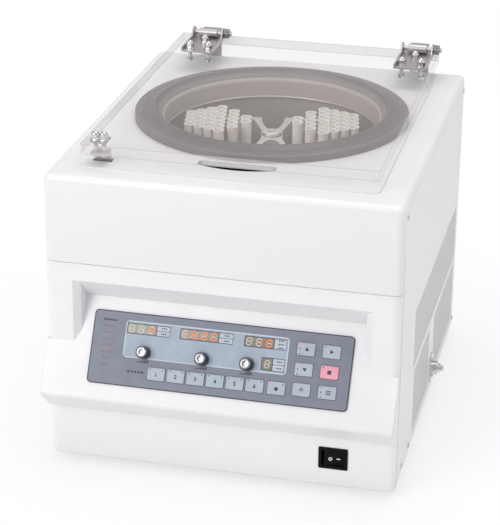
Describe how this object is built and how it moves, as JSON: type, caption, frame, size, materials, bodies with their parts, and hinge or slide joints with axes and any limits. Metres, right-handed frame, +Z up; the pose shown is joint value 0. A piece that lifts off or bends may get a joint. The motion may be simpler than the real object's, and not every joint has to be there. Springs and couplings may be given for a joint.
{
  "type": "refrigerated centrifuge",
  "caption": "Bench centrifuge with a cooled chamber under a clear hinged lid, a swing-out rotor with racked tubes, and a sloping console with knobs and keys.",
  "frame": {"origin": "middle of the footprint, on the surface that the feet stand on", "axes": "+Z up; -Y is the console's side, +Y the hinges' side; +X the side of the drain port"},
  "size_m": [0.4382, 0.525, 0.4135],
  "materials": {
    "white_paint": "satin powder coat",
    "grey_sheet": "plated sheet",
    "black_sheet": "matt black",
    "foot_rubber": "matt",
    "bright_screws": "bright plated",
    "panel_grey": "fine-grained sheet",
    "display_window": "smoked and glossy",
    "circuit_board": "lacquered",
    "switch_black": "semi-gloss",
    "bowl_steel": "spun",
    "gasket_rubber": "satin",
    "foam": "foamed",
    "copper": "drawn",
    "motor_casting": "cast",
    "shaft_steel": "ground",
    "rotor_aluminium": "machined",
    "tube_plastic": "milky and clear",
    "clear_plastic": "clear and polished",
    "hinge_steel": "stamped stainless",
    "spring_steel": "drawn wire",
    "compressor_black": "gloss black",
    "fin_aluminium": "finned",
    "black_plastic": "matt",
    "knob_plastic": "semi-gloss",
    "key_blue": "satin",
    "key_pink": "satin"
  },
  "bodies": {
    "casing": {"base_plate": "grey_sheet", "feet": "foot_rubber", "front_fascia": "white_paint", "top_cover": "white_paint", "finger_cup": "black_plastic", "left_side_panel": "white_paint", "right_side_panel": "white_paint", "rear_panel": "white_paint", "panel_screws": "bright_screws", "control_panel": "panel_grey", "display_windows": "display_window", "control_board": "circuit_board", "switch_frame": "switch_black", "chamber_bowl": "bowl_steel", "chamber_gasket": "gasket_rubber", "chamber_insulation": "foam", "evaporator_coil": "copper", "motor_housing": "motor_casting", "motor_dampers": "foot_rubber", "motor_stand": "grey_sheet", "hinge_bases": "hinge_steel", "hinge_springs": "spring_steel", "lock_housing": "grey_sheet", "compressor": "compressor_black", "condenser_coil": "fin_aluminium", "fan_shroud": "black_sheet", "refrigerant_line": "copper", "power_board": "circuit_board", "power_inlet": "black_plastic", "drain_port": "bright_screws"},
    "lid": {"lid_plate": "clear_plastic", "lid_fasteners": "bright_screws", "hinge_leaves": "hinge_steel", "strike_bracket": "hinge_steel"},
    "rotor": {"drive_shaft": "shaft_steel", "rotor_yoke": "rotor_aluminium", "rotor_knob": "bright_screws"},
    "left_carrier": {"left_bucket": "rotor_aluminium", "left_tubes": "tube_plastic"},
    "right_carrier": {"right_bucket": "rotor_aluminium", "right_tubes": "tube_plastic"},
    "fan": {"fan_blades": "black_plastic"},
    "rocker": {"power_rocker": "switch_black"},
    "latch": {"lock_bolt": "shaft_steel"},
    "knob_temperature": {"knob_temperature": "knob_plastic"},
    "knob_speed": {"knob_speed": "knob_plastic"},
    "knob_time": {"knob_time": "knob_plastic"},
    "key_1": {"key_1": "key_blue"},
    "key_2": {"key_2": "key_blue"},
    "key_3": {"key_3": "key_blue"},
    "key_4": {"key_4": "key_blue"},
    "key_5": {"key_5": "key_blue"},
    "key_6": {"key_6": "key_blue"},
    "key_memory": {"key_memory": "key_blue"},
    "key_special": {"key_special": "key_blue"},
    "key_decelerate": {"key_decelerate": "key_blue"},
    "key_accelerate": {"key_accelerate": "key_blue"},
    "key_mode": {"key_mode": "key_blue"},
    "key_stop": {"key_stop": "key_pink"},
    "key_start": {"key_start": "key_blue"}
  },
  "joints": [
    {"name": "lid_hinge", "type": "hinge", "parent": "casing", "child": "lid", "pos_m": [-0.0079, 0.23634, 0.407], "axis": [-1, 0, 0], "range_deg": [0, 80]},
    {"name": "rotor_spin", "type": "hinge", "parent": "casing", "child": "rotor", "pos_m": [-0.0079, 0.03134, 0.3], "axis": [0, 0, 1], "continuous": true},
    {"name": "left_bucket_swing", "type": "hinge", "parent": "rotor", "child": "left_carrier", "pos_m": [-0.07661, 0.01798, 0.335], "axis": [-0.1908, 0.9816, 0], "range_deg": [0, 90]},
    {"name": "right_bucket_swing", "type": "hinge", "parent": "rotor", "child": "right_carrier", "pos_m": [0.06081, 0.0447, 0.335], "axis": [0.1908, -0.9816, 0], "range_deg": [0, 90]},
    {"name": "knob_temperature_turn", "type": "hinge", "parent": "casing", "child": "knob_temperature", "pos_m": [-0.0989, -0.23205, 0.15892], "axis": [0, -0.8627, 0.5057], "range_deg": [-150, 150]},
    {"name": "knob_speed_turn", "type": "hinge", "parent": "casing", "child": "knob_speed", "pos_m": [-0.0285, -0.23205, 0.15892], "axis": [0, -0.8627, 0.5057], "range_deg": [-150, 150]},
    {"name": "knob_time_turn", "type": "hinge", "parent": "casing", "child": "knob_time", "pos_m": [0.0251, -0.23205, 0.15892], "axis": [0, -0.8627, 0.5057], "range_deg": [-150, 150]},
    {"name": "key_1_press", "type": "slide", "parent": "casing", "child": "key_1", "axis": [0, 0.8627, -0.5057], "range_m": [0, 0.0008], "stiffness_N_per_m": 800},
    {"name": "key_2_press", "type": "slide", "parent": "casing", "child": "key_2", "axis": [0, 0.8627, -0.5057], "range_m": [0, 0.0008], "stiffness_N_per_m": 800},
    {"name": "key_3_press", "type": "slide", "parent": "casing", "child": "key_3", "axis": [0, 0.8627, -0.5057], "range_m": [0, 0.0008], "stiffness_N_per_m": 800},
    {"name": "key_4_press", "type": "slide", "parent": "casing", "child": "key_4", "axis": [0, 0.8627, -0.5057], "range_m": [0, 0.0008], "stiffness_N_per_m": 800},
    {"name": "key_5_press", "type": "slide", "parent": "casing", "child": "key_5", "axis": [0, 0.8627, -0.5057], "range_m": [0, 0.0008], "stiffness_N_per_m": 800},
    {"name": "key_6_press", "type": "slide", "parent": "casing", "child": "key_6", "axis": [0, 0.8627, -0.5057], "range_m": [0, 0.0008], "stiffness_N_per_m": 800},
    {"name": "key_memory_press", "type": "slide", "parent": "casing", "child": "key_memory", "axis": [0, 0.8627, -0.5057], "range_m": [0, 0.0008], "stiffness_N_per_m": 800},
    {"name": "key_special_press", "type": "slide", "parent": "casing", "child": "key_special", "axis": [0, 0.8627, -0.5057], "range_m": [0, 0.0008], "stiffness_N_per_m": 800},
    {"name": "key_decelerate_press", "type": "slide", "parent": "casing", "child": "key_decelerate", "axis": [0, 0.8627, -0.5057], "range_m": [0, 0.0008], "stiffness_N_per_m": 800},
    {"name": "key_accelerate_press", "type": "slide", "parent": "casing", "child": "key_accelerate", "axis": [0, 0.8627, -0.5057], "range_m": [0, 0.0008], "stiffness_N_per_m": 800},
    {"name": "key_mode_press", "type": "slide", "parent": "casing", "child": "key_mode", "axis": [0, 0.8627, -0.5057], "range_m": [0, 0.0008], "stiffness_N_per_m": 800},
    {"name": "key_stop_press", "type": "slide", "parent": "casing", "child": "key_stop", "axis": [0, 0.8627, -0.5057], "range_m": [0, 0.0008], "stiffness_N_per_m": 800},
    {"name": "key_start_press", "type": "slide", "parent": "casing", "child": "key_start", "axis": [0, 0.8627, -0.5057], "range_m": [0, 0.0008], "stiffness_N_per_m": 800},
    {"name": "rocker_tilt", "type": "hinge", "parent": "casing", "child": "rocker", "pos_m": [0.1288, -0.22066, 0.048], "axis": [0, 0, -1], "range_deg": [0, 18]},
    {"name": "fan_spin", "type": "hinge", "parent": "casing", "child": "fan", "pos_m": [0.1521, 0.15034, 0.11], "axis": [1, 0, 0], "continuous": true},
    {"name": "latch_slide", "type": "slide", "parent": "casing", "child": "latch", "axis": [0, -1, 0], "range_m": [0, 0.009], "stiffness_N_per_m": 120}
  ]
}
